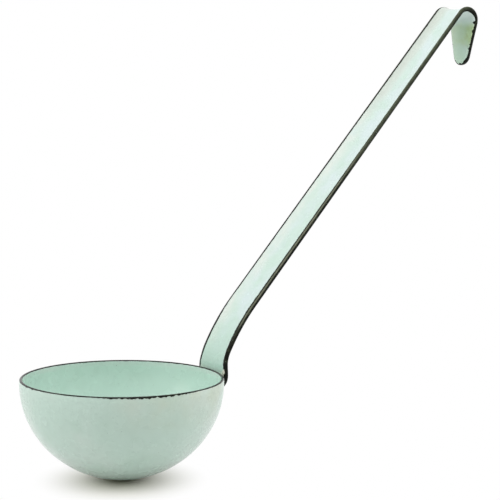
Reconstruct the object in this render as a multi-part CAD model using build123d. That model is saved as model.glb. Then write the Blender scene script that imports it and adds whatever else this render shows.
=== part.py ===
# Enamelled steel soup ladle: a deep pressed bowl, and a strip handle that is welded to the
# bowl's side, sweeps up and away in two bends, and folds back at the top into a hanging hook.
# Millimetres, +Z up, bowl level, handle along +X, mirror plane at Y = 0.
# The origin is the middle of the length, at the height of the bowl's lowest point.
# Sizes are over the enamel.

from build123d import *
from copy import copy
import os
from math import asin, atan2, cos, hypot, radians, sin, sqrt

os.makedirs("parts", exist_ok=True)

# Bowl
bowl_radius = 50.0            # outside, at the rim
bowl_height = 49.8            # outside bottom to the top of the black rim
bowl_wall = 1.6
upright_wall = 1.9            # straight wall under the rim, above the rounded part
rim_enamel_height = 1.0       # black enamel on the cut edge

# Strip the handle is pressed from
strip_thickness = 2.4
strip_edge_round = 0.75
edge_enamel_width = 1.0       # black enamel, seen from the front

# Foot: the flat, widened end that is welded to the bowl
foot_width = 26.4
foot_drop = 11.0              # its end, below the rim
foot_widest_drop = 1.5        # its widest level, below the rim
foot_flare_height = 10.0      # from its widest level up to the neck
foot_gap = 0.3                # enamel between the strip and the bowl's widest ring

# Handle path, on the middle of the strip, from the foot to the hook's tip
lower_bend_rise = 0.6         # where the strip leaves the vertical, above the rim
lower_bend_radius = 22.0
lower_bend_angle = 26.1
upper_bend_radius = 108.0
handle_slope = 48.9           # of the straight, above the horizontal
straight_length = 192.1
hook_inner_radius = 3.3       # of the bend's inner face, on the middle line
tongue_length = 24.0          # from the bend's end to the tip

# Strip widths and the trough pressed into its front
neck_width = 23.9             # lower end of the straight
hook_width = 21.8             # upper end of the straight, and round the bend
trough_radius = 40.0          # at the hook; it fades to flat at the neck
tip_radius = 6.2
shoulder_drop = 1.4           # where the taper starts, below the bend

# Spot welds between the foot and the bowl
weld_diameter = 4.0
weld_spacing = 10.0
weld_drop = 5.5               # below the rim

# Enamel that fills the wedge between the flat foot and the round bowl
seam_setback = 0.8            # from the foot's outline

crown_angle = 45.0            # half the arc at the bottom of the bowl and of the foot

overrun = 20.0                # how far cutters pass what they cut
side_share = 0.2              # a wall square to X has less than this share of its normal along X

half_strip = strip_thickness / 2
round_height = bowl_height - upright_wall
wall_top = bowl_height - rim_enamel_height
y_axis = (0, 1, 0)


def round_end_radii(half_width, depth):
    """Radii of the side and crown arcs of a round end that is wider than it is deep."""
    turn = radians(crown_angle)
    excess = (half_width - depth) / (sin(turn) + cos(turn) - 1)
    side = half_width - excess * sin(turn)
    return side, side + excess


# Bowl

bowl_side_radius, bowl_crown_radius = round_end_radii(bowl_radius, round_height)


def bowl_body(inward):
    """Solid cup whose surface lies inside the bowl's outside by a distance."""
    radius = bowl_radius - inward
    side = bowl_side_radius - inward
    crown = bowl_crown_radius - inward
    with BuildSketch(Plane.XZ) as half:
        with BuildLine():
            base = CenterArc((0, bowl_crown_radius), crown, start_angle=270, arc_size=crown_angle)
            flank = CenterArc((bowl_radius - bowl_side_radius, round_height), side,
                              start_angle=270 + crown_angle, arc_size=90 - crown_angle)
            Polyline(flank @ 1, (radius, wall_top), (0, wall_top), base @ 0)
        make_face()
    return revolve(half.sketch, axis=Axis.Z)


def bowl_shell():
    return bowl_body(0) - bowl_body(bowl_wall)


def ring_radius(z):
    """Radius of the bowl's outside at a height above its lowest point."""
    below = round_height - z
    return bowl_radius - bowl_side_radius + sqrt(bowl_side_radius ** 2 - below ** 2)


def rim_enamel():
    """Half-round bead on the wall's cut edge."""
    bead_radius = bowl_wall / 2
    middle = bowl_radius - bead_radius
    side_top = bowl_height - bead_radius
    with BuildSketch(Plane.XZ) as section:
        with BuildLine():
            base = Line((middle + bead_radius, wall_top), (middle - bead_radius, wall_top))
            inner = Line(base @ 1, (middle - bead_radius, side_top))
            crown = ThreePointArc(inner @ 1, (middle, bowl_height), (middle + bead_radius, side_top))
            Line(crown @ 1, base @ 0)
        make_face()
    return revolve(section.sketch, axis=Axis.Z)


# Handle path

class Station:
    """A place on the strip's middle line, with its heading in degrees above +X."""

    def __init__(self, x, z, heading):
        self.x = x
        self.z = z
        self.heading = heading
        self.along = Vector(cos(radians(heading)), 0, sin(radians(heading)))
        self.front = Vector(-sin(radians(heading)), 0, cos(radians(heading)))
        self.point = Vector(x, 0, z)
        self.plane = Plane(origin=self.point, x_dir=y_axis, z_dir=self.along)

    def ahead(self, length):
        point = self.point + self.along * length
        return Station(point.X, point.Z, self.heading)

    def bend_axis(self, radius):
        """Axis of a bend towards the strip's back."""
        return Axis(self.point - self.front * radius, y_axis)

    def bent(self, radius, angle):
        centre = self.point - self.front * radius
        turned = Station(0, 0, self.heading - angle)
        point = centre + turned.front * radius
        return Station(point.X, point.Z, self.heading - angle)


upper_bend_angle = 90 - handle_slope - lower_bend_angle
hook_angle = handle_slope + 90
hook_radius = hook_inner_radius + half_strip

strip_x = bowl_radius + foot_gap + half_strip
foot_end = Station(strip_x, bowl_height - foot_drop, 90)
lower_bend = foot_end.ahead(foot_drop + lower_bend_rise)
upper_bend = lower_bend.bent(lower_bend_radius, lower_bend_angle)
neck = upper_bend.bent(upper_bend_radius, upper_bend_angle)
hook_start = neck.ahead(straight_length)
hook_end = hook_start.bent(hook_radius, hook_angle)
tip = hook_end.ahead(tongue_length)


# Strip sections: local x is across the strip, local y points out of its front

def flat_section(width):
    return Rectangle(width, strip_thickness)


def rounded(section):
    return fillet(section.vertices(), strip_edge_round)


def trough_section(width):
    """Strip whose front is hollowed across by the trough, with upright sides."""
    half = width / 2
    centre = half_strip + trough_radius
    front = centre - sqrt(trough_radius ** 2 - half ** 2)
    back = centre - sqrt((trough_radius + strip_thickness) ** 2 - half ** 2)
    with BuildSketch() as section:
        with BuildLine():
            ThreePointArc((-half, front), (0, half_strip), (half, front))
            Line((half, front), (half, back))
            ThreePointArc((half, back), (0, -half_strip), (-half, back))
            Line((-half, back), (-half, front))
        make_face()
    return section.sketch


# Outlines, seen along X: local x is +Y, local y is +Z

def foot_outline():
    """Rounded foot that flares out of the neck and runs on up past the bends."""
    widest = bowl_height - foot_widest_drop
    foot_half = foot_width / 2
    neck_half = neck_width / 2
    side, crown = round_end_radii(foot_half, widest - foot_end.z)
    top = neck.z + overrun
    with BuildSketch(Plane.YZ) as outline:
        with BuildLine():
            CenterArc((0, foot_end.z + crown), crown, start_angle=270, arc_size=crown_angle)
            flank = CenterArc((foot_half - side, widest), side,
                              start_angle=270 + crown_angle, arc_size=90 - crown_angle)
            middle = Vector((foot_half + neck_half) / 2, widest + foot_flare_height / 2)
            swell = TangentArc(flank @ 1, middle, tangent=(0, 1))
            waist = TangentArc(middle, (neck_half, widest + foot_flare_height), tangent=swell % 1)
            Line(waist @ 1, (neck_half, top))
            Line((neck_half, top), (0, top))
            mirror(about=Plane.YZ)
        make_face()
    return outline.sketch


def tongue_outline():
    """Tapered tongue with a round tip, hanging straight down from the bend."""
    half = hook_width / 2
    tip_middle = tip.z + tip_radius
    corner = Vector(half, hook_end.z - shoulder_drop)
    rise = corner.Y - tip_middle
    taper = atan2(half, rise) - asin(tip_radius / hypot(half, rise))
    down = Vector(-sin(taper), -cos(taper))
    with BuildSketch(Plane.YZ) as outline:
        with BuildLine():
            side = Line((half, tip.z + overrun * 2), (half, hook_end.z))
            Line((0, tip.z + overrun * 2), side @ 0)
            shoulder = TangentArc(side @ 1, corner + down * shoulder_drop, tangent=(0, -1))
            edge = Line(shoulder @ 1, (tip_radius * cos(taper), tip_middle + tip_radius * sin(taper)))
            TangentArc(edge @ 1, (0, tip.z), tangent=edge % 1)
            mirror(about=Plane.YZ)
        make_face()
    return outline.sketch


def inset(outline):
    return offset(outline, amount=-edge_enamel_width, kind=Kind.INTERSECTION)


def along_x(outline):
    """Cutter along X, long enough for the whole ladle, from an outline seen along X."""
    reach = tip.x + overrun
    return extrude(outline, amount=reach, dir=(1, 0, 0), both=True)


# Lengths of the strip, each with its outer edges rounded

def is_side(face):
    """True for a wall that stands square to the outlines seen along X."""
    return abs(face.normal_at().X) < side_share


def round_edges(body, end_plane):
    """Round the front and back edges of a length whose outline was cut along X."""
    walls = [face for face in body.faces() if is_side(face)]
    ends = body.faces().filter_by(lambda face: face.is_coplanar(end_plane))
    sides = [face for face in walls if face not in ends]
    chosen = []
    for edge in body.edges():
        on_sides = sum(edge in face.edges() for face in sides)
        on_ends = any(edge in face.edges() for face in ends)
        if on_sides == 1 and not on_ends:
            chosen.append(edge)
    return fillet(chosen, strip_edge_round)


def foot_length():
    """Flat foot and the two bends, up to the neck."""
    blank = flat_section(foot_width + overrun)
    upright = extrude(foot_end.plane * blank, amount=foot_drop + lower_bend_rise)
    lower = revolve(lower_bend.plane * blank, axis=lower_bend.bend_axis(lower_bend_radius),
                    revolution_arc=lower_bend_angle)
    upper = revolve(upper_bend.plane * blank, axis=upper_bend.bend_axis(upper_bend_radius),
                    revolution_arc=upper_bend_angle)
    body = (upright + lower + upper) & along_x(foot_outline())
    return round_edges(body, neck.plane)


def straight():
    """Tapering straight, in which the trough grows from nothing to full depth."""
    lower = neck.plane * rounded(flat_section(neck_width))
    upper = hook_start.plane * rounded(trough_section(hook_width))
    return loft([lower, upper], ruled=True)


def bend():
    section = hook_start.plane * rounded(trough_section(hook_width))
    return revolve(section, axis=hook_start.bend_axis(hook_radius), revolution_arc=hook_angle)


def tongue():
    blank = extrude(hook_end.plane * trough_section(hook_width), amount=tongue_length)
    body = blank & along_x(tongue_outline())
    return round_edges(body, hook_end.plane)


# The strip inside its black edge

def bend_inside():
    width = hook_width - edge_enamel_width * 2
    return Pos(hook_end.point) * Box(overrun * 2, width, overrun * 2)


def straight_inside():
    """Cutter inside the tapering edges of the straight."""
    lower = neck_width / 2 - edge_enamel_width
    upper = hook_width / 2 - edge_enamel_width
    widening = (lower - upper) / straight_length * overrun
    floor = Plane(origin=neck.point, x_dir=neck.along, z_dir=neck.front)
    with BuildSketch(floor) as outline:
        with BuildLine():
            start = (-overrun, lower + widening)
            end = (straight_length + overrun, upper - widening)
            Polyline((-overrun, 0), start, end, (straight_length + overrun, 0))
            mirror(about=Plane.XZ)
        make_face()
    return extrude(outline.sketch, amount=overrun, both=True)


def strip_lengths():
    """Each length of the strip, with the cutter that parts its face from its black edge."""
    return [
        (foot_length(), along_x(inset(foot_outline()))),
        (straight(), straight_inside()),
        (bend(), bend_inside()),
        (tongue(), along_x(inset(tongue_outline()))),
    ]


def fused(bodies):
    return Part() + list(bodies)


# Welds and the enamel in the seam

def welds():
    """Round nuggets that run from the middle of the bowl's wall to the middle of the foot."""
    z = bowl_height - weld_drop
    nuggets = []
    for y in (-weld_spacing / 2, weld_spacing / 2):
        wall = sqrt(ring_radius(z) ** 2 - y ** 2)
        start = wall - bowl_wall / 2
        across = Plane(origin=(start, y, z), x_dir=y_axis, z_dir=(1, 0, 0))
        nuggets.append(extrude(across * Circle(weld_diameter / 2), amount=strip_x - start))
    return nuggets


def seam():
    """Enamel between the round bowl and the flat front of the foot, below the rim."""
    outline = offset(foot_outline(), amount=-seam_setback, kind=Kind.INTERSECTION)
    below_rim = Pos(0, 0, wall_top) * Box(bowl_radius * 4, foot_width, overrun * 4,
                                          align=(Align.CENTER, Align.CENTER, Align.MAX))
    front = strip_x - half_strip
    block = extrude(outline, amount=front, dir=(1, 0, 0))
    return (block & below_rim) - bowl_body(0)


nuggets = welds()
lengths = strip_lengths()
strip = fused(body & inside for body, inside in lengths)
edge = fused(body - inside for body, inside in lengths)

parts = {
    "bowl": bowl_shell() - nuggets,
    "bowl_rim_enamel": rim_enamel(),
    "handle": strip - nuggets,
    "handle_edge_enamel": edge,
    "foot_seam_enamel": seam() - nuggets,
    "spot_welds": fused(nuggets),
}

whole = Compound(children=[copy(body) for body in parts.values()]).bounding_box()
to_origin = Pos(-whole.center().X, 0, -whole.min.Z)
for node, body in parts.items():
    export_step(to_origin * body, f"parts/{node}.step")
    print(node, body.is_valid, len(body.solids()), round(body.volume, 1), len(body.faces()))
print("size", whole.size, "shift", to_origin.position)
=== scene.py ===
# Enamelled soup ladle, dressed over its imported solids.
# Metres, +Z up, bowl level, handle along +X, mirror plane at Y = 0.

from math import asin, atan2, copysign, cos, hypot, pi, radians, sin, sqrt, tan

import bmesh
import bpy
from mathutils import Matrix, Vector, noise


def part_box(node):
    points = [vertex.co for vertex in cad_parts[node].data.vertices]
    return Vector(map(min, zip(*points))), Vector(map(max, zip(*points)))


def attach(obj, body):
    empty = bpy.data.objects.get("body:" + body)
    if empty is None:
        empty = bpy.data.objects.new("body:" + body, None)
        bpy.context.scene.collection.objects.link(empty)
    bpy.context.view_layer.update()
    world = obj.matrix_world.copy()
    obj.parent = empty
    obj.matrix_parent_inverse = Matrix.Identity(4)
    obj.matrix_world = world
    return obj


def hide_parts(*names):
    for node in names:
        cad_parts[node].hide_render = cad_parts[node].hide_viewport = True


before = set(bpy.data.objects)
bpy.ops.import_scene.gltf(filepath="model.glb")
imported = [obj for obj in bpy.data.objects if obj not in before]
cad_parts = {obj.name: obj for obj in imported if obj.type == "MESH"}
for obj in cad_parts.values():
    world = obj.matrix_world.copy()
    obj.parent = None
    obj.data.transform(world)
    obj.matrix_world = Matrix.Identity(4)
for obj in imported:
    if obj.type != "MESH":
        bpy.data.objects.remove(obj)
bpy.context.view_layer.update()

mm = 0.001
merge_reach = 0.001 * mm      # vertices closer than this are one
cut_reach = 0.02 * mm         # a cut this close to a vertex goes through it

# Bowl, with its place and size from the frame
bowl_low, bowl_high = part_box("bowl")
bowl_axis_x = (bowl_low[0] + bowl_high[0]) / 2
bowl_radius = (bowl_high[0] - bowl_low[0]) / 2
bowl_bottom = bowl_low[2]
rim_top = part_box("bowl_rim_enamel")[1][2]
bowl_wall = 1.6 * mm
upright_wall = 1.9 * mm       # height of the straight wall below the rim's top
draw_in_height = 0.4 * mm     # over which that wall draws in under the rim's black
crown_turn = radians(45)      # part of a round end's quarter turn that its flatter arc takes
around_steps = 288            # faces round the bowl

# Black on the rim, as lengths over the bead from its top
rim_reach_out = 0.88 * mm
rim_reach_in = 0.9 * mm
rim_wander = 0.1 * mm
rim_grain = 2.5 * mm          # size of the waves in its border
rim_profile_shares = (-1, -0.85, -0.65, -0.4, -0.15, 0.15, 0.4, 0.65, 0.85, 1)
skin = 0.2 * mm               # how deep the black reaches into the bead
# Where it has run further: angle from +X and half width in degrees, and how much further
rim_runs = ((-102, 31, 0.5 * mm), (177.5, 1.5, 0.5 * mm), (-175, 1.5, 0.35 * mm))
run_grain = 1.2 * mm
run_ragged_share = 1.5

# Strip handle, with its place from the frame
strip_low, strip_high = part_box("handle_edge_enamel")
hook_back = strip_high[0]
hook_top = strip_high[2]
strip_thickness = 2.4 * mm
edge_round = 0.75 * mm
foot_width = 26.4 * mm
foot_depth = 9.5 * mm         # from the foot's end to its widest level
foot_flare = 10.0 * mm
foot_straight = 11.6 * mm     # from the foot's end to the lower bend
lower_bend_radius = 22.0 * mm
lower_bend_turn = radians(26.1)
upper_bend_radius = 108.0 * mm
handle_slope = radians(48.9)
straight_length = 192.1 * mm
hook_radius = 4.5 * mm
tongue_length = 24.0 * mm
neck_width = 23.9 * mm
hook_width = 21.8 * mm
trough_radius = 42.0 * mm
tip_radius = 6.2 * mm
shoulder_drop = 1.4 * mm

# Rings of faces inside the strip's outline, and the gaps between the cuts across it
rounding_shares = (0.06, 0.24, 0.48, 0.74, 1.0)      # of the rounded edge
face_ring_shares = (1.0, 1.5, 2.2)                   # of the black's plain width
coat_ring_shares = (0.06, 0.2, 0.4, 0.6, 0.8, 1.0)   # of the black's plain width
trough_cut_reach = 10 * mm
trough_cut_gap = 1.0 * mm
bend_cut_gap = 1.2 * mm
straight_cut_gap = 5 * mm
hook_cut_gap = 0.35 * mm
border_cut_gap = 0.7 * mm     # finer on the black coat, whose border wanders
tongue_cut_gap = 0.5 * mm

# Black coat on the strip's edges, near side at -Y and far side at +Y
coat = 0.06 * mm              # how far it stands proud of the pale enamel
black_width = 1.0 * mm        # plain width that the borders below are stretched from
near_border = 1.0 * mm        # on the front
far_border = 1.75 * mm        # on the front
back_border = 0.9 * mm
tongue_near_border = 0.12 * mm   # the tongue's back, where the black hardly turns the corner
tongue_far_border = 0.4 * mm
tip_border = 0.6 * mm
thinnest_black = 0.05 * mm
border_change = 5 * mm        # length over which the back's border changes
tip_change_end = 1 * mm       # before the tip
bend_narrowing = 0.8 * mm     # over the hook, on the far side
bend_narrowing_length = 4 * mm
border_wander = 0.22 * mm
border_grain = 2.2 * mm
back_seed = 40                # shifts the noise, so that front and back wander apart
# Stretches from the foot's end where the front's black is wider: where it starts to widen and
# is wide, where it starts to narrow and is plain again, and how much wider
far_widenings = ((13 * mm, 20 * mm, 32 * mm, 45 * mm, 0.4 * mm),)
near_widenings = (
    (11 * mm, 14 * mm, 15 * mm, 20 * mm, 0.3 * mm),
    (15 * mm, 30 * mm, 120 * mm, 185 * mm, 0.5 * mm),
)

# Flaws of the black on the tongue's back: teeth, and a dried drop at its near edge
tooth_size = 1.1 * mm
tooth_reach = 0.75 * mm
dried_drop_reach = 0.75 * mm
dried_drop_place = 1.4 * mm   # from the bend's end
dried_drop_half_length = 0.9 * mm

# Enamel pooled between the foot and the bowl
seam_setback = 0.7 * mm
seam_hollow_share = 0.035     # its sides draw in by this share halfway across the wedge
seam_bite = 0.35 * mm         # how deep it reaches into the strip and the bowl
seam_cut_gap = 1.0 * mm
seam_first_cut = 1.5 * mm
seam_cut_reach = 12 * mm
seam_level_shares = (0.2, 0.4, 0.6, 0.8)

# Drop of enamel on the rim, beside the foot's near edge
drop_half_size = (1.1 * mm, 0.5 * mm, 1.3 * mm)
drop_lift = 0.3 * mm          # its middle above the rim
drop_taper_share = 0.45
drop_taper_start_share = -0.4   # of its half height
drop_lump_size = 0.9 * mm
drop_lump_share = 0.12


def smooth(start, end, value):
    """Share from 0 to 1 as a value goes from start to end, with soft ends."""
    share = min(1, max(0, (value - start) / (end - start)))
    return share * share * (3 - 2 * share)


def ragged(place, size, reach):
    """Uneven distance, the same at every run, for a brushed border at a place."""
    finer = 0.3
    wave = noise.noise(Vector(place) / size)
    fine = noise.noise(Vector(place) / (size * finer))
    return reach * (wave + fine / 2)


# Strip path

def path_legs():
    """Length along the middle line, turn towards the back, and bend radius of each stretch."""
    upper_bend_turn = pi / 2 - handle_slope - lower_bend_turn
    hook_turn = handle_slope + pi / 2
    return (
        (foot_straight, 0, 0),
        (lower_bend_radius * lower_bend_turn, lower_bend_turn, lower_bend_radius),
        (upper_bend_radius * upper_bend_turn, upper_bend_turn, upper_bend_radius),
        (straight_length, 0, 0),
        (hook_radius * hook_turn, hook_turn, hook_radius),
        (tongue_length, 0, 0),
    )


legs = path_legs()
neck_s = sum(leg[0] for leg in legs[:3])
hook_start_s = sum(leg[0] for leg in legs[:4])
hook_end_s = sum(leg[0] for leg in legs[:5])
tip_s = sum(leg[0] for leg in legs)
foot_x = strip_low[0] + strip_thickness / 2
foot_z = strip_low[2]


def path_place(s):
    """Point on the middle line at a length from the foot's end, and its front normal."""
    x = foot_x
    z = foot_z
    heading = pi / 2
    for index, (length, turn, radius) in enumerate(legs):
        last = index == len(legs) - 1
        step = s if last else min(s, length)
        if radius:
            part = turn * step / length
            x += radius * (sin(heading) - sin(heading - part))
            z += radius * (cos(heading - part) - cos(heading))
            heading -= part
        else:
            x += step * cos(heading)
            z += step * sin(heading)
        s -= step
        if s <= 0:
            break
    return Vector((x, 0, z)), Vector((-sin(heading), 0, cos(heading)))


def bent(s, v, lift):
    """Point of the bent strip from its flat place: along, across, and above its middle."""
    point, front = path_place(s)
    trough = min(1, max(0, (s - neck_s) / straight_length))
    centre = strip_thickness / 2 + trough_radius
    hollow = centre - sqrt((centre - lift) ** 2 - v * v)
    return point + front * (lift * (1 - trough) + hollow * trough) + Vector((0, v, 0))


# Flat pattern of the strip: x along it from the foot's end, y across it

def end_radii(half_width, depth):
    """Side and crown radii of a round end made of two tangent arcs."""
    excess = (half_width - depth) / (sin(crown_turn) + cos(crown_turn) - 1)
    side = half_width - excess * sin(crown_turn)
    return side, side + excess


def spun(bm, start, centre, axis, turn, steps):
    """Carries a chain of edges on round a centre, and returns its new end."""
    made = bmesh.ops.spin(bm, geom=[start], cent=centre, axis=axis, angle=turn, steps=steps,
                          use_merge=False)
    return [e for e in made["geom_last"] if isinstance(e, bmesh.types.BMVert)][0]


def arc(bm, start, centre, turn, steps):
    """Arc of the flat pattern."""
    return spun(bm, start, (*centre, 0), (0, 0, 1), turn, steps)


def line(bm, start, end):
    """Carries a chain of edges on to a point, and returns its new end."""
    made = bmesh.ops.extrude_vert_indiv(bm, verts=[start])
    made["verts"][0].co = end
    return made["verts"][0]


def strip_outline(bm, shrink):
    """Face with the outline of the flattened strip, shrunk all round by a distance."""
    foot_half = foot_width / 2
    neck_half = neck_width / 2
    hook_half = hook_width / 2
    side, crown = end_radii(foot_half, foot_depth)
    step_in = foot_half - neck_half
    flare_radius = (foot_flare ** 2 + step_in ** 2) / (4 * step_in)
    flare_turn = asin(foot_flare / 2 / flare_radius)
    taper_start = hook_end_s + shoulder_drop
    tip_middle = tip_s - tip_radius
    rise = tip_middle - taper_start
    taper = atan2(hook_half, rise) - asin(tip_radius / hypot(hook_half, rise))
    shoulder_radius = shoulder_drop / tan(taper / 2)
    reach = tip_radius - shrink

    at = bm.verts.new((shrink, 0, 0))
    at = arc(bm, at, (crown, 0), -crown_turn, steps=10)
    at = arc(bm, at, (foot_depth, foot_half - side), crown_turn - pi / 2, steps=8)
    at = arc(bm, at, (foot_depth, foot_half - flare_radius), -flare_turn, steps=6)
    at = arc(bm, at, (foot_depth + foot_flare, neck_half + flare_radius), flare_turn, steps=6)
    at = line(bm, at, (neck_s, neck_half - shrink, 0))
    at = line(bm, at, (hook_start_s, hook_half - shrink, 0))
    at = line(bm, at, (hook_end_s, hook_half - shrink, 0))
    at = arc(bm, at, (hook_end_s, hook_half - shoulder_radius), -taper, steps=4)
    at = line(bm, at, (tip_middle + reach * sin(taper), reach * cos(taper), 0))
    arc(bm, at, (tip_middle, 0), taper - pi / 2, steps=18)
    bmesh.ops.mirror(bm, geom=bm.verts[:] + bm.edges[:], matrix=Matrix.Identity(4),
                     merge_dist=merge_reach, axis="Y")
    bmesh.ops.remove_doubles(bm, verts=bm.verts, dist=merge_reach)
    return bmesh.ops.contextual_create(bm, geom=bm.edges[:])["faces"][0]


def inset_rings(bm, face, depths, gap):
    """Rings of faces along the outline, with each vertex's distance from it kept in a layer."""
    reached = 0
    for depth in depths:
        bmesh.ops.inset_region(bm, faces=[face], thickness=depth - reached,
                               use_even_offset=True, use_boundary=True)
        for vert in face.verts:
            vert[gap] = depth
        reached = depth


def cut(bm, places, normal):
    """Splits the faces by planes at places along a normal."""
    for place in places:
        geometry = bm.verts[:] + bm.edges[:] + bm.faces[:]
        bmesh.ops.bisect_plane(bm, geom=geometry, dist=cut_reach,
                               plane_co=Vector(normal) * place, plane_no=normal)


def spaced(start, end, step):
    """Even places from start to end, about a step apart."""
    count = max(1, round((end - start) / step))
    return [start + (end - start) * k / count for k in range(count + 1)]


# Strip and its black coat

def fold(bm, inward):
    """Bends a flat slab into the strip, with rounded edges, inside its outside by a distance."""
    lift_share = bm.verts.layers.float.new("lift_share")
    gap = bm.verts.layers.float["edge_gap"]
    half = strip_thickness / 2 - inward
    radius = edge_round - inward
    for vert in bm.verts:
        side = 1 if abs(vert.co.z) < half else -1
        away = max(0, radius - vert[gap])
        lift = side * (half - radius + sqrt(radius ** 2 - away ** 2))
        vert[lift_share] = lift / half
        vert.co = bent(vert.co.x, vert.co.y, lift)


def strip_body(name):
    """Closed, bent strip with rounded edges, just inside the black coat."""
    bm = bmesh.new()
    gap = bm.verts.layers.float.new("edge_gap")
    face = strip_outline(bm, coat)
    rings = [(edge_round - coat) * share for share in rounding_shares]
    rings += [black_width * share for share in face_ring_shares]
    inset_rings(bm, face, rings, gap)
    cut(bm, spaced(-trough_cut_reach, trough_cut_reach, trough_cut_gap), (0, 1, 0))
    cuts = spaced(foot_straight, neck_s, bend_cut_gap)
    cuts += spaced(neck_s, hook_start_s, straight_cut_gap)[1:]
    cuts += spaced(hook_start_s, hook_end_s, hook_cut_gap)[1:]
    cut(bm, cuts, (1, 0, 0))
    bmesh.ops.solidify(bm, geom=bm.faces[:], thickness=strip_thickness)
    fold(bm, coat)
    return finished(bm, name)


def widening(s, stretches):
    """Extra width of the black at a length along the strip, from stretches with soft ends."""
    extra = 0
    for widens, wide, narrows, plain, most in stretches:
        extra += most * smooth(widens, wide, s) * (1 - smooth(narrows, plain, s))
    return extra


def front_border(s, v):
    """Width of the black on the strip's front, before it wanders."""
    if v > 0:
        over_bend = smooth(hook_start_s, hook_start_s + bend_narrowing_length, s)
        return far_border + widening(s, far_widenings) - bend_narrowing * over_bend
    return near_border + widening(s, near_widenings)


def back_width(s, v):
    """Width of the black on the strip's back, before it wanders."""
    beside = tongue_near_border if v < 0 else tongue_far_border
    folded = smooth(hook_end_s - border_change, hook_end_s, s)
    tip = smooth(tip_s - border_change, tip_s - tip_change_end, s)
    return back_border * (1 - folded) + beside * folded * (1 - tip) + tip_border * tip


def tongue_flaws(s, v, seed):
    """Extra black on the tongue's back: teeth all along, and a dried drop at the near edge."""
    if s <= hook_end_s:
        return 0
    extra = max(0, ragged(seed, tooth_size, tooth_reach))
    if v <= 0:
        off = (s - hook_end_s - dried_drop_place) / dried_drop_half_length
        extra += dried_drop_reach * max(0, 1 - off ** 2)
    return extra


def wander_border(bm, gap):
    """Moves the rings of the black coat so that its inner border runs where it should."""
    moved = []
    for vert in bm.verts:
        if vert[gap] < merge_reach:
            continue
        outer = min((edge.other_vert(vert) for edge in vert.link_edges), key=lambda v: v[gap])
        inward = (vert.co - outer.co).normalized()
        start = vert.co - inward * vert[gap]
        seed = start + Vector((0, 0, back_seed * vert.co.z))
        front = abs(vert.co.z) < strip_thickness / 2
        width = front_border(start.x, start.y) if front else back_width(start.x, start.y)
        width += min(1, width / black_width) * ragged(seed, border_grain, border_wander)
        if not front:
            width += tongue_flaws(start.x, start.y, seed)
        depth = vert[gap] * max(thinnest_black, width) / black_width
        moved.append((vert, start + inward * depth, depth))
    for vert, place, depth in moved:
        vert.co = place
        vert[gap] = depth


def edge_coat(name):
    """Closed band of black enamel round the strip's edge, from its front to its back."""
    bm = bmesh.new()
    gap = bm.verts.layers.float.new("edge_gap")
    face = strip_outline(bm, 0)
    inset_rings(bm, face, [black_width * share for share in coat_ring_shares], gap)
    bmesh.ops.delete(bm, geom=[face], context="FACES_ONLY")
    cuts = spaced(foot_depth, hook_start_s, border_cut_gap)
    cuts += spaced(hook_start_s, hook_end_s, hook_cut_gap)[1:]
    cuts += spaced(hook_end_s, tip_s - tip_radius, tongue_cut_gap)[1:]
    cut(bm, cuts, (1, 0, 0))
    bmesh.ops.solidify(bm, geom=bm.faces[:], thickness=strip_thickness)
    wander_border(bm, gap)
    fold(bm, 0)
    return finished(bm, name)


# Meshes and objects

def finished(bm, name):
    """Object at the origin from a closed bmesh, smooth, with its faces outwards."""
    bmesh.ops.recalc_face_normals(bm, faces=bm.faces)
    for face in bm.faces:
        face.smooth = True
    mesh = bpy.data.meshes.new(name)
    bm.to_mesh(mesh)
    bm.free()
    piece = bpy.data.objects.new(name, mesh)
    bpy.context.scene.collection.objects.link(piece)
    return piece


def turned(bm, steps):
    """Turns the half section in a bmesh once round +Z."""
    bmesh.ops.spin(bm, geom=bm.verts[:] + bm.edges[:], cent=(0, 0, 0), axis=(0, 0, 1),
                   angle=2 * pi, steps=steps, use_merge=True)
    bmesh.ops.remove_doubles(bm, verts=bm.verts, dist=2 * merge_reach)


# Bowl

def section_arc(bm, start, centre, turn, steps):
    """Arc of the bowl's half section, with its centre as radius and height."""
    radius, height = centre
    return spun(bm, start, (radius, 0, height), (0, -1, 0), turn, steps)


def bowl_body(name):
    """Closed shell, spun from its half section."""
    height = rim_top - upright_wall - bowl_bottom
    side, crown = end_radii(bowl_radius, height)
    bead = bowl_wall / 2 - coat
    bead_z = rim_top - bowl_bottom - bead - coat
    upright_z = height + draw_in_height
    bm = bmesh.new()
    at = bm.verts.new((0, 0, 0))
    at = section_arc(bm, at, (0, crown), crown_turn, steps=28)
    at = section_arc(bm, at, (bowl_radius - side, height), pi / 2 - crown_turn, steps=28)
    at = line(bm, at, (bowl_radius - coat, 0, upright_z))
    at = line(bm, at, (bowl_radius - coat, 0, bead_z))
    at = section_arc(bm, at, (bowl_radius - coat - bead, bead_z), pi, steps=12)
    at = line(bm, at, (bowl_radius - bowl_wall + coat, 0, upright_z))
    at = line(bm, at, (bowl_radius - bowl_wall, 0, height))
    at = section_arc(bm, at, (bowl_radius - side, height), crown_turn - pi / 2, steps=26)
    section_arc(bm, at, (0, crown), -crown_turn, steps=26)
    turned(bm, around_steps)
    inside = bm.verts.layers.float.new("inside")
    for vert in bm.verts:
        off = hypot(vert.co.x, vert.co.y, (height - vert.co.z) * bowl_radius / height)
        vert[inside] = 1 if vert.co.z < height and off < bowl_radius - bowl_wall / 2 else 0
    bmesh.ops.translate(bm, verts=bm.verts, vec=(bowl_axis_x, 0, bowl_bottom))
    return finished(bm, name)


def over_bead(along):
    """Radius and height on the rim at a length over the bead from its top, outwards plus."""
    bead = bowl_wall / 2
    quarter = bead * pi / 2
    reach = min(abs(along), quarter)
    off = bead * sin(reach / bead)
    drop = bead - bead * cos(reach / bead) + abs(along) - reach
    return bowl_radius - bead + copysign(off, along), rim_top - drop


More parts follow.
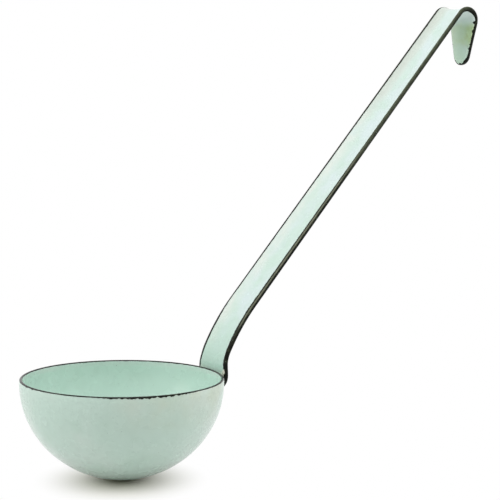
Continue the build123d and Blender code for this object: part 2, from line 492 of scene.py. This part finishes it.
def rim_reach(angle, place, outwards):
    """How far the rim's black comes down from the bead's top."""
    reach = (rim_reach_out if outwards else rim_reach_in) + ragged(place, rim_grain, rim_wander)
    if not outwards:
        return reach
    for centre, half_width, extra in rim_runs:
        off = (angle - radians(centre) + pi) % (2 * pi) - pi
        near = max(0, 1 - (off / radians(half_width)) ** 2)
        reach += near * (extra + ragged(place, run_grain, run_ragged_share * extra))
    return reach


def rim_coat(name):
    """Thin closed shell of black enamel over the bowl's rim, with ragged borders."""
    bm = bmesh.new()
    at = bm.verts.new((bowl_radius, 0, rim_profile_shares[0]))
    for share in rim_profile_shares[1:]:
        at = line(bm, at, (bowl_radius, 0, share))
    turned(bm, 2 * around_steps)
    for vert in bm.verts:
        share = vert.co.z
        angle = atan2(vert.co.y, vert.co.x)
        reach = rim_reach(angle, (vert.co.x, vert.co.y, 0), share > 0)
        radius, z = over_bead(share * reach)
        vert.co = (bowl_axis_x + radius * cos(angle), radius * sin(angle), z)
    bmesh.ops.recalc_face_normals(bm, faces=bm.faces)
    bmesh.ops.solidify(bm, geom=bm.faces[:], thickness=-skin)
    return finished(bm, name)


# Enamel pooled between the foot and the bowl

def wall_x(y, z):
    """X of the bowl's outside at a place on its +X side."""
    height = rim_top - upright_wall - bowl_bottom
    side, crown = end_radii(bowl_radius, height)
    below = max(0, height - (z - bowl_bottom))
    radius = bowl_radius - side + sqrt(side ** 2 - below ** 2)
    return bowl_axis_x + sqrt(radius ** 2 - y * y)


def seam_fill(name):
    """Enamel that fills the wedge below the rim, with sides that draw in between."""
    bm = bmesh.new()
    strip_outline(bm, seam_setback)
    top = rim_top - bowl_wall / 2 - foot_z
    bmesh.ops.bisect_plane(bm, geom=bm.verts[:] + bm.edges[:] + bm.faces[:], dist=merge_reach,
                           plane_co=(top, 0, 0), plane_no=(1, 0, 0), clear_outer=True)
    cut(bm, spaced(seam_first_cut, top, seam_cut_gap)[:-1], (1, 0, 0))
    cut(bm, spaced(-seam_cut_reach, seam_cut_reach, seam_cut_gap), (0, 1, 0))
    # One unit thick here, and stretched between the strip and the bowl below
    bmesh.ops.solidify(bm, geom=bm.faces[:], thickness=1.0)
    cut(bm, seam_level_shares, (0, 0, 1))
    cut(bm, [-share for share in seam_level_shares], (0, 0, 1))
    strip_front = foot_x - strip_thickness / 2 + seam_bite
    for vert in bm.verts:
        share = abs(vert.co.z)
        draw = 1 - seam_hollow_share * 4 * share * (1 - share)
        y = vert.co.y * draw
        z = foot_z + foot_depth + (vert.co.x - foot_depth) * draw
        wall = wall_x(y, z) - seam_bite
        vert.co = (strip_front + (wall - strip_front) * share, y, z)
    return finished(bm, name)


def corner_pool(name):
    """Drop of enamel on the rim, in the corner that it makes with the foot's near edge."""
    half_x, half_y, half_z = drop_half_size
    bm = bmesh.new()
    bmesh.ops.create_uvsphere(bm, u_segments=32, v_segments=24, radius=1)
    x = foot_x - strip_thickness / 2
    y = edge_round - foot_width / 2
    z = rim_top + drop_lift
    for vert in bm.verts:
        narrow = 1 - drop_taper_share * smooth(drop_taper_start_share, 1, vert.co.z)
        narrow *= 1 + ragged(vert.co * mm, drop_lump_size, drop_lump_share)
        vert.co = (x + vert.co.x * half_x * narrow,
                   y + vert.co.y * half_y * narrow,
                   z + vert.co.z * half_z)
    return finished(bm, name)


# Nodes

# Sockets of a Mix node that mixes colours
mix_share = 0
mix_first = 6
mix_second = 7
mix_result = 2


def joined(tree, socket, value):
    """Links a socket to another one, or sets it to a plain value."""
    if isinstance(value, bpy.types.NodeSocket):
        tree.links.new(value, socket)
    else:
        socket.default_value = value


def ranged(tree, value, between, strength):
    """From a low to a high value as a source goes from start to end, with soft ends."""
    node = tree.nodes.new("ShaderNodeMapRange")
    node.interpolation_type = "SMOOTHSTEP"
    for socket, given in zip(node.inputs, (value, *between, *strength)):
        joined(tree, socket, given)
    return node.outputs["Result"]


def measured(tree, place, direction):
    """How far a place lies along a direction."""
    node = tree.nodes.new("ShaderNodeVectorMath")
    node.operation = "DOT_PRODUCT"
    tree.links.new(place, node.inputs[0])
    node.inputs[1].default_value = direction
    return node.outputs["Value"]


def mixed(tree, share, first, second):
    """Colour between two, each of them plain or a socket, by a share."""
    node = tree.nodes.new("ShaderNodeMix")
    node.data_type = "RGBA"
    joined(tree, node.inputs[mix_share], share)
    for index, colour in ((mix_first, first), (mix_second, second)):
        made = isinstance(colour, bpy.types.NodeSocket)
        joined(tree, node.inputs[index], colour if made else (*colour, 1))
    return node.outputs[mix_result]


# Materials

class Finish:
    """A material of nodes, put together step by step."""

    def __init__(self, name):
        self.material = bpy.data.materials.new(name)
        self.material.use_nodes = True
        self.tree = self.material.node_tree
        self.shader = self.tree.nodes["Principled BSDF"]
        self.place = self.tree.nodes.new("ShaderNodeTexCoord").outputs["Object"]

    def surface(self, name, value):
        """Sets an input of the surface."""
        joined(self.tree, self.shader.inputs[name], value)

    def cloud(self, size, detail=2.0):
        """Soft noise around 0.5, with lumps of about a size."""
        node = self.tree.nodes.new("ShaderNodeTexNoise")
        joined(self.tree, node.inputs["Vector"], self.place)
        joined(self.tree, node.inputs["Scale"], 1 / size)
        joined(self.tree, node.inputs["Detail"], detail)
        return node.outputs["Fac"]

    def kept(self, layer):
        """Value that the piece keeps on its vertices."""
        node = self.tree.nodes.new("ShaderNodeAttribute")
        node.attribute_name = layer
        return node.outputs["Fac"]

    def along(self, direction):
        """Object coordinate along a direction."""
        return measured(self.tree, self.place, direction)

    def span(self, value, between, strength=(0.0, 1.0)):
        """Strength from low to high as a value goes from start to end."""
        return ranged(self.tree, value, between, strength)

    def patches(self, size, between, strength=(0.0, 1.0), detail=2.0):
        """Soft patches of about a size, with the noise levels at which they start and are full."""
        return self.span(self.cloud(size, detail), between, strength)

    def times(self, first, *others):
        """Product of two or more shares."""
        for other in others:
            node = self.tree.nodes.new("ShaderNodeMath")
            node.operation = "MULTIPLY"
            joined(self.tree, node.inputs[0], first)
            joined(self.tree, node.inputs[1], other)
            first = node.outputs[0]
        return first

    def blend(self, share, first, second):
        """Colour from the first to the second by a share."""
        return mixed(self.tree, share, first, second)

    def relief(self, height, depth, under=None):
        """Fine bumps as deep as given, over others where there are some."""
        node = self.tree.nodes.new("ShaderNodeBump")
        joined(self.tree, node.inputs["Height"], height)
        joined(self.tree, node.inputs["Distance"], depth)
        if under:
            joined(self.tree, node.inputs["Normal"], under)
        return node.outputs["Normal"]


# Mint enamel
mint = (0.53, 0.68, 0.60)
# Lighter mint: random lighter patches on the bowl, and the painted highlight beside the strip's
# black
mint_lighter_and_highlight = (0.60, 0.71, 0.645)
mint_cool = (0.59, 0.70, 0.69)
# Whiter mint: painted highlight on the strip's far half
mint_far_highlight = (0.65, 0.71, 0.65)
mint_deep = (0.46, 0.62, 0.52)
mint_inside_painted_light = (0.54, 0.725, 0.635)      # the bowl's inside, painted lighter and greener for the light that bounces in it
mint_low = (0.46, 0.63, 0.54)           # the neck
mint_painted_shade = (0.52, 0.575, 0.515)        # painted shade along the far edge below the hook
mint_back = (0.54, 0.72, 0.57)          # the tongue's back
mint_hook_painted_light = (0.70, 0.80, 0.77)          # painted light inside the hook's bend
stain_warm = (0.55, 0.58, 0.43)
olive_tint = (0.47, 0.60, 0.33)
speck_dark = (0.10, 0.11, 0.08)

# Black enamel
black = (0.0035, 0.0045, 0.0025)
black_thin = (0.036, 0.042, 0.022)
black_grey_wear_and_highlight = (0.08, 0.092, 0.058)
black_highlight_line = (0.20, 0.205, 0.15)        # painted highlight: the thin light line along the near side's front edge
black_gloss_level = 0.1

# Cream enamel and weld metal
cream = (0.68, 0.66, 0.53)
cream_shade = (0.56, 0.60, 0.50)
weld_grey = (0.36, 0.36, 0.37)
weld_heat = (0.30, 0.24, 0.18)

# Sizes of the patches in which the colours change
bowl_light_patch = 30 * mm
bowl_deep_patch = 12 * mm
bowl_warm_patch = 16 * mm
strip_cool_patch = 14 * mm
strip_highlight_patch = 9 * mm
strip_deep_patch = 6 * mm
strip_painted_shade_patch = 8 * mm
tongue_green_patch = 9 * mm
tongue_olive_patch = 7 * mm
# Patches of wear on the black, which also break up its painted highlights
wear_and_highlight_patch = 3 * mm
thin_patch = 2.2 * mm
cream_patch = 2.5 * mm
heat_patch = 1.5 * mm

# Fired surface: sizes across and depths of its unevenness
gloss_patch = 9 * mm
wave_size = 11 * mm
wave_depth = 0.16 * mm
peel_size = 1.3 * mm
peel_depth = 0.008 * mm
pinhole_size = 0.8 * mm
chip_size = 0.5 * mm
weld_grain = 0.6 * mm
weld_pit_size = 0.5 * mm
weld_pit_depth = 0.03 * mm

# Directions that the finishes go by
to_hook = (1, 0, 0)
to_far_side = (0, 1, 0)
to_top = (0, 0, 1)
to_near_foot = (0.35, -0.94, 0)

# Where the bowl's finish changes, each from a start to an end
bowl_warm_side = (-5 * mm, 45 * mm)
bowl_warm_height = (rim_top - 21.8 * mm, rim_top - 5.8 * mm)
inside_painted_light_strength = 0.85        # of the inside's painted lighter colour over the outside's

# Where the strip's finish changes
# Painted highlight across the far half
highlight_across = (-2 * mm, 8 * mm)
neck_mint_height = (rim_top + 28.2 * mm, rim_top + 6.2 * mm)
# Painted shade along the far edge, across and in height
painted_shade_across = (0, 8 * mm)
painted_shade_height = (hook_top - 67.35 * mm, hook_top - 37.35 * mm)
# Painted highlight beside the black, from its start to its end distance from the edge
highlight_beside_black = (1.2 * mm, 2.1 * mm)
back_lift_shares = (0.3, -0.3)
tongue_reach = (hook_back - 16 * mm, hook_back - 8 * mm)
olive_from = (hook_top - 22.85 * mm, hook_top - 16.85 * mm)
olive_up_to = (hook_top - 4.35 * mm, hook_top - 10.35 * mm)
olive_across = (-6 * mm, 7 * mm)
# Painted light near the top of the tongue's back
hook_painted_light_height = (hook_top - 11.85 * mm, hook_top - 6.35 * mm)

# Where the black's finish changes, and on which part of the edge, from back (-1) to front (+1)
near_half = (-4 * mm, 4 * mm)
tongue_edge = (hook_back - 9 * mm, hook_back - 3 * mm)
above_neck = (rim_top + 6.2 * mm, rim_top + 35.2 * mm)
straight_middle = (rim_top + 85.2 * mm, rim_top + 115.2 * mm)
line_height = (rim_top + 17.2 * mm, rim_top + 28.2 * mm)
highlight_lift_shares = (0.0, 0.45)
worn_lift_shares = (-0.9, -0.2)
border_lift_shares = (0.85, 0.98)
line_start_lift_shares = (0.35, 0.5)
line_end_lift_shares = (0.92, 0.78)


def glassy(finish, roughness):
    """Gloss that varies over the surface, and the slow waves and fine peel of fired enamel."""
    finish.surface("Roughness", finish.patches(gloss_patch, (0.3, 0.7), roughness, detail=3.0))
    waves = finish.relief(finish.cloud(wave_size, detail=1.0), wave_depth)
    finish.surface("Normal", finish.relief(finish.cloud(peel_size), peel_depth, waves))


def pinholes(finish, colour):
    """Sparse fine specks where the coat has pitted."""
    share = finish.patches(pinhole_size, (0.83, 0.87), (0.0, 0.35), detail=0.0)
    return finish.blend(share, colour, speck_dark)


def bowl_enamel():
    """Mint, painted lighter and greener inside for the light that bounces in the bowl, with a warm
    stain below the rim towards the foot.
    """
    finish = Finish("mint_enamel_bowl")
    inside = finish.kept("inside")
    colour = finish.blend(finish.patches(bowl_light_patch, (0.35, 0.7)), mint, mint_lighter_and_highlight)
    # Painted light: the inside is lighter and greener, for the light that bounces in the bowl
    colour = finish.blend(finish.times(inside, inside_painted_light_strength), colour, mint_inside_painted_light)
    deeper = finish.patches(bowl_deep_patch, (0.5, 0.75), (0.0, 0.3), detail=1.5)
    colour = finish.blend(deeper, colour, mint_deep)
    warm = finish.times(
        finish.span(finish.along(to_near_foot), bowl_warm_side),
        finish.span(finish.along(to_top), bowl_warm_height),
        finish.patches(bowl_warm_patch, (0.35, 0.6), (0.3, 1.0)),
        finish.span(inside, (0, 1), (0.8, 0.0)),
    )
    colour = finish.blend(warm, colour, stain_warm)
    finish.surface("Base Color", pinholes(finish, colour))
    glassy(finish, (0.2, 0.32))
    return finish.material


def tongue_back(finish, colour, height, across):
    """Greener enamel on the tongue's back, with an olive tint lower down and painted light, a
    paler mint, up by the bend.
    """
    tongue = finish.times(
        finish.span(finish.along(to_hook), tongue_reach),
        finish.span(finish.kept("lift_share"), back_lift_shares),
    )
    greener = finish.times(tongue, finish.patches(tongue_green_patch, (0.3, 0.6), (0.5, 0.85)))
    colour = finish.blend(greener, colour, mint_back)
    olive = finish.times(
        tongue,
        finish.span(height, olive_from),
        finish.span(height, olive_up_to),
        finish.span(across, olive_across, (1.0, 0.35)),
        finish.patches(tongue_olive_patch, (0.35, 0.6), (0.5, 1.0)),
    )
    colour = finish.blend(olive, colour, olive_tint)
    # Painted light: paler mint near the top of the tongue's back, by the bend
    return finish.blend(finish.times(tongue, finish.span(height, hook_painted_light_height)), colour, mint_hook_painted_light)


def strip_enamel():
    """Mint with a painted highlight in whiter patches on the far half and beside the black, deeper
    on the neck, and painted shade along the far edge below the hook.
    """
    finish = Finish("mint_enamel_strip")
    height = finish.along(to_top)
    across = finish.along(to_far_side)
    cool = finish.patches(strip_cool_patch, (0.35, 0.65), detail=3.0)
    colour = finish.blend(cool, mint, mint_cool)
    # Painted highlight: whiter patches on the far half
    far_highlight = finish.times(
        finish.span(across, highlight_across),
        finish.patches(strip_highlight_patch, (0.3, 0.6), (0.3, 0.9)),
    )
    colour = finish.blend(far_highlight, colour, mint_far_highlight)
    deeper = finish.patches(strip_deep_patch, (0.55, 0.75), (0.0, 0.35), detail=3.0)
    colour = finish.blend(deeper, colour, mint_deep)
    colour = finish.blend(finish.span(height, neck_mint_height, (0.0, 0.85)), colour, mint_low)
    # Painted shade: greyer along the far edge below the hook
    painted_shade = finish.times(
        finish.span(across, painted_shade_across),
        finish.span(height, painted_shade_height),
        finish.patches(strip_painted_shade_patch, (0.3, 0.6), (0.7, 1.0)),
    )
    colour = finish.blend(painted_shade, colour, mint_painted_shade)
    # Painted highlight: pale mint just beside the black, for the light on the rounded corner
    highlight_by_black = finish.span(finish.kept("edge_gap"), highlight_beside_black, (0.6, 0.0))
    colour = finish.blend(highlight_by_black, colour, mint_lighter_and_highlight)
    colour = tongue_back(finish, colour, height, across)
    finish.surface("Base Color", pinholes(finish, colour))
    glassy(finish, (0.16, 0.3))
    return finish.material


def black_enamel(name):
    """Black enamel, greyer brown on the near side's front half as a painted highlight and on its
    back half higher up as wear, with a painted highlight line on the neck, and solid on the neck.
    """
    finish = Finish(name)
    towards_front = finish.kept("lift_share")
    height = finish.along(to_top)
    near_side = finish.span(finish.along(to_far_side), near_half, (1.0, 0.15))
    before_tongue = finish.span(finish.along(to_hook), tongue_edge, (1.0, 0.1))
    lower_half = finish.span(height, straight_middle, (1.0, 0.0))
    upper_half = finish.span(height, straight_middle)
    patch = finish.patches(wear_and_highlight_patch, (0.35, 0.6), (0.6, 1.0), detail=3.0)

    thin = finish.patches(thin_patch, (0.52, 0.78), detail=3.0)
    colour = finish.blend(thin, black, black_thin)
    # Painted highlight: greyer black on the near side's front half
    highlight_half = finish.times(
        finish.span(towards_front, highlight_lift_shares, (0.0, 0.95)),
        finish.span(height, above_neck),
    )
    # Wear: greyer black on the back half, higher up
    worn_over = finish.times(
        finish.span(towards_front, worn_lift_shares, (0.0, 0.55)),
        upper_half,
    )
    for share in (highlight_half, worn_over):
        share = finish.times(share, near_side, before_tongue, patch)
        colour = finish.blend(share, colour, black_grey_wear_and_highlight)
    solid_border = finish.times(
        finish.span(towards_front, border_lift_shares, (0.0, 0.8)),
        lower_half,
    )
    colour = finish.blend(solid_border, colour, black)
    # Painted highlight: a thin light line along the rounded edge on the neck's near side
    painted_highlight_line = finish.times(
        finish.span(towards_front, line_start_lift_shares),
        finish.span(towards_front, line_end_lift_shares),
        finish.span(height, line_height),
        lower_half,
        near_side,
        patch,
    )
    colour = finish.blend(painted_highlight_line, colour, black_highlight_line)
    chip = finish.patches(chip_size, (0.74, 0.78), (0.0, 0.5), detail=1.0)
    finish.surface("Base Color", finish.blend(chip, colour, mint_deep))
    finish.shader.inputs["Specular IOR Level"].default_value = black_gloss_level
    glassy(finish, (0.07, 0.18))
    return finish.material


def cream_enamel():
    """Pale enamel pooled thick, with soft patches."""
    finish = Finish("cream_enamel")
    colour = finish.blend(finish.patches(cream_patch, (0.35, 0.7)), cream, cream_shade)
    finish.surface("Base Color", pinholes(finish, colour))
    glassy(finish, (0.15, 0.25))
    return finish.material


def weld_steel():
    """Bare weld metal with heat stains and pits."""
    finish = Finish("weld_steel")
    heat = finish.patches(heat_patch, (0.35, 0.7), detail=4.0)
    roughness = finish.patches(weld_grain, (0.3, 0.7), (0.35, 0.6), detail=3.0)
    finish.surface("Base Color", finish.blend(heat, weld_grey, weld_heat))
    finish.surface("Metallic", 1.0)
    finish.surface("Roughness", roughness)
    pits = finish.relief(finish.cloud(weld_pit_size, detail=3.0), weld_pit_depth)
    finish.surface("Normal", pits)
    return finish.material


# Dressing

def dress(piece, material, slot, *nodes):
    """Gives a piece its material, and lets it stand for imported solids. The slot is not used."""
    piece.data.materials.append(material)
    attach(piece, "root")
    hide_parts(*nodes)


def dress_solid(node, material):
    """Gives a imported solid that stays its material."""
    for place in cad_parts[node].material_slots:
        place.material = material


rim_black = black_enamel("rim_black_enamel")
edge_black = black_enamel("edge_black_enamel")
pooled = cream_enamel()
dress(bowl_body("bowl_shell"), bowl_enamel(), "mint_enamel", "bowl")
dress(rim_coat("rim_coat"), rim_black, "black_rim_enamel", "bowl_rim_enamel")
dress(strip_body("handle_strip"), strip_enamel(), "mint_enamel", "handle")
dress(edge_coat("edge_coat"), edge_black, "black_edge_enamel", "handle_edge_enamel")
dress(seam_fill("seam_fill"), pooled, "cream_seam_enamel", "foot_seam_enamel")
dress(corner_pool("corner_pool"), pooled, "cream_seam_enamel", "foot_seam_enamel")
dress_solid("spot_welds", weld_steel())


# Floor, room, lamps and camera

floor_size = 6
floor_bounce = (0.74, 0.755, 0.74)   # what the floor throws back up on to the bowl
floor_shown = (0.65, 0.62, 0.48)     # its warm colour in the shadow, as the camera sees it
shade_radius = 3 * mm         # the floor shades as it is up to here from the shadow's middle
white_radius = 44 * mm        # the camera sees it pure white from here on
shade_ahead = 4.5 * mm        # how far the shadow's middle lies in front of the bowl's axis
shade_depth_share = 0.85      # its front to back lengths count for this much
to_camera = Vector((-0.51, -0.86, 0))
sideways = Vector((0.86, -0.51, 0))

room_level = 0.62
room_front_level = 0.5
room_front = (-0.2, 0.9)      # how far towards to_camera the room starts to dim, and is dim

# Place, size across and power of each lamp
lamps = {
    "overhead_softbox": ((-0.15, -0.25, 1.1), 0.9, 6.5),
    "left_panel": ((-0.95, 0.45, 0.45), 0.8, 3.6),
    "right_panel": ((0.95, -0.35, 0.35), 0.7, 2.8),
}
lamp_aim = Vector((-0.03, 0, 0.08))

# Camera, as fitted to the photograph
camera_place = (-475.44 * mm, -789.5 * mm, 214.8 * mm)
camera_yaw = radians(-30.76)
camera_dip = radians(6.589)
camera_roll = radians(0.341)
camera_lens = 131.7           # focal length for the sensor's width below
camera_sensor = 36
camera_clip = 10 * mm


def seen_rays(tree):
    """1 for camera, glossy and transmission rays, otherwise 0."""
    path = tree.nodes.new("ShaderNodeLightPath")
    total = path.outputs["Is Camera Ray"]
    for name in ("Is Glossy Ray", "Is Transmission Ray"):
        highest = tree.nodes.new("ShaderNodeMath")
        highest.operation = "MAXIMUM"
        tree.links.new(total, highest.inputs[0])
        tree.links.new(path.outputs[name], highest.inputs[1])
        total = highest.outputs[0]
    return total


def shadow_distance(tree):
    """Distance on the floor from the shadow's middle, with the shadow taken as an oval."""
    place = tree.nodes.new("ShaderNodeTexCoord")
    off = tree.nodes.new("ShaderNodeVectorMath")
    off.operation = "SUBTRACT"
    off.inputs[1].default_value = Vector((bowl_axis_x, 0, 0)) + to_camera * shade_ahead
    tree.links.new(place.outputs["Object"], off.inputs[0])
    oval = tree.nodes.new("ShaderNodeCombineXYZ")
    for socket, axis in zip(oval.inputs, (sideways, to_camera * shade_depth_share)):
        tree.links.new(measured(tree, off.outputs["Vector"], axis), socket)
    away = tree.nodes.new("ShaderNodeVectorMath")
    away.operation = "LENGTH"
    tree.links.new(oval.outputs["Vector"], away.inputs[0])
    return away.outputs["Value"]


def backdrop():
    """White floor, which keeps its shading near the bowl and is pure white further off."""
    bpy.ops.mesh.primitive_plane_add(size=floor_size, location=(0, 0, bowl_bottom))
    floor = bpy.context.object
    floor.name = "floor"
    material = bpy.data.materials.new("white_floor")
    material.use_nodes = True
    tree = material.node_tree
    tree.nodes.clear()
    diffuse = tree.nodes.new("ShaderNodeBsdfDiffuse")
    colour = mixed(tree, seen_rays(tree), floor_bounce, floor_shown)
    tree.links.new(colour, diffuse.inputs["Color"])
    glow = tree.nodes.new("ShaderNodeEmission")
    radii = (shade_radius, white_radius)
    white = ranged(tree, shadow_distance(tree), radii, (0.0, seen_rays(tree)))
    both = tree.nodes.new("ShaderNodeMixShader")
    tree.links.new(white, both.inputs[0])
    tree.links.new(diffuse.outputs[0], both.inputs[1])
    tree.links.new(glow.outputs[0], both.inputs[2])
    out = tree.nodes.new("ShaderNodeOutputMaterial")
    tree.links.new(both.outputs[0], out.inputs["Surface"])
    floor.data.materials.append(material)


def surroundings():
    """Even white room, dimmer in front, that shows as pure white."""
    world = bpy.data.worlds.new("studio")
    bpy.context.scene.world = world
    world.use_nodes = True
    tree = world.node_tree
    place = tree.nodes.new("ShaderNodeTexCoord")
    facing = measured(tree, place.outputs["Generated"], to_camera)
    lit = ranged(tree, facing, room_front, (room_level, room_front_level))
    strength = ranged(tree, seen_rays(tree), (0, 1), (lit, 1.0))
    background = tree.nodes["Background"]
    background.inputs["Color"].default_value = (1, 1, 1, 1)
    tree.links.new(strength, background.inputs["Strength"])


def soft_light(name, place, size, power):
    """Round soft lamp that points at the ladle."""
    light = bpy.data.lights.new(name, "AREA")
    light.shape = "DISK"
    light.size = size
    light.energy = power
    lamp = bpy.data.objects.new(name, light)
    lamp.location = place
    towards = lamp_aim - Vector(place)
    lamp.rotation_euler = towards.to_track_quat("-Z", "Y").to_euler()
    bpy.context.scene.collection.objects.link(lamp)


def photo_camera():
    """Camera at the photograph's place and angle."""
    lens = bpy.data.cameras.new("photo_camera")
    lens.lens = camera_lens
    lens.sensor_width = camera_sensor
    lens.clip_start = camera_clip
    camera = bpy.data.objects.new("photo_camera", lens)
    yaw = Matrix.Rotation(camera_yaw, 4, "Z")
    pitch = Matrix.Rotation(pi / 2 - camera_dip, 4, "X")
    roll = Matrix.Rotation(camera_roll, 4, "Z")
    camera.matrix_world = Matrix.Translation(camera_place) @ yaw @ pitch @ roll
    bpy.context.scene.collection.objects.link(camera)
    bpy.context.scene.camera = camera


backdrop()
surroundings()
for name, (place, size, power) in lamps.items():
    soft_light(name, place, size, power)
photo_camera()
bpy.context.scene.view_settings.view_transform = "Standard"
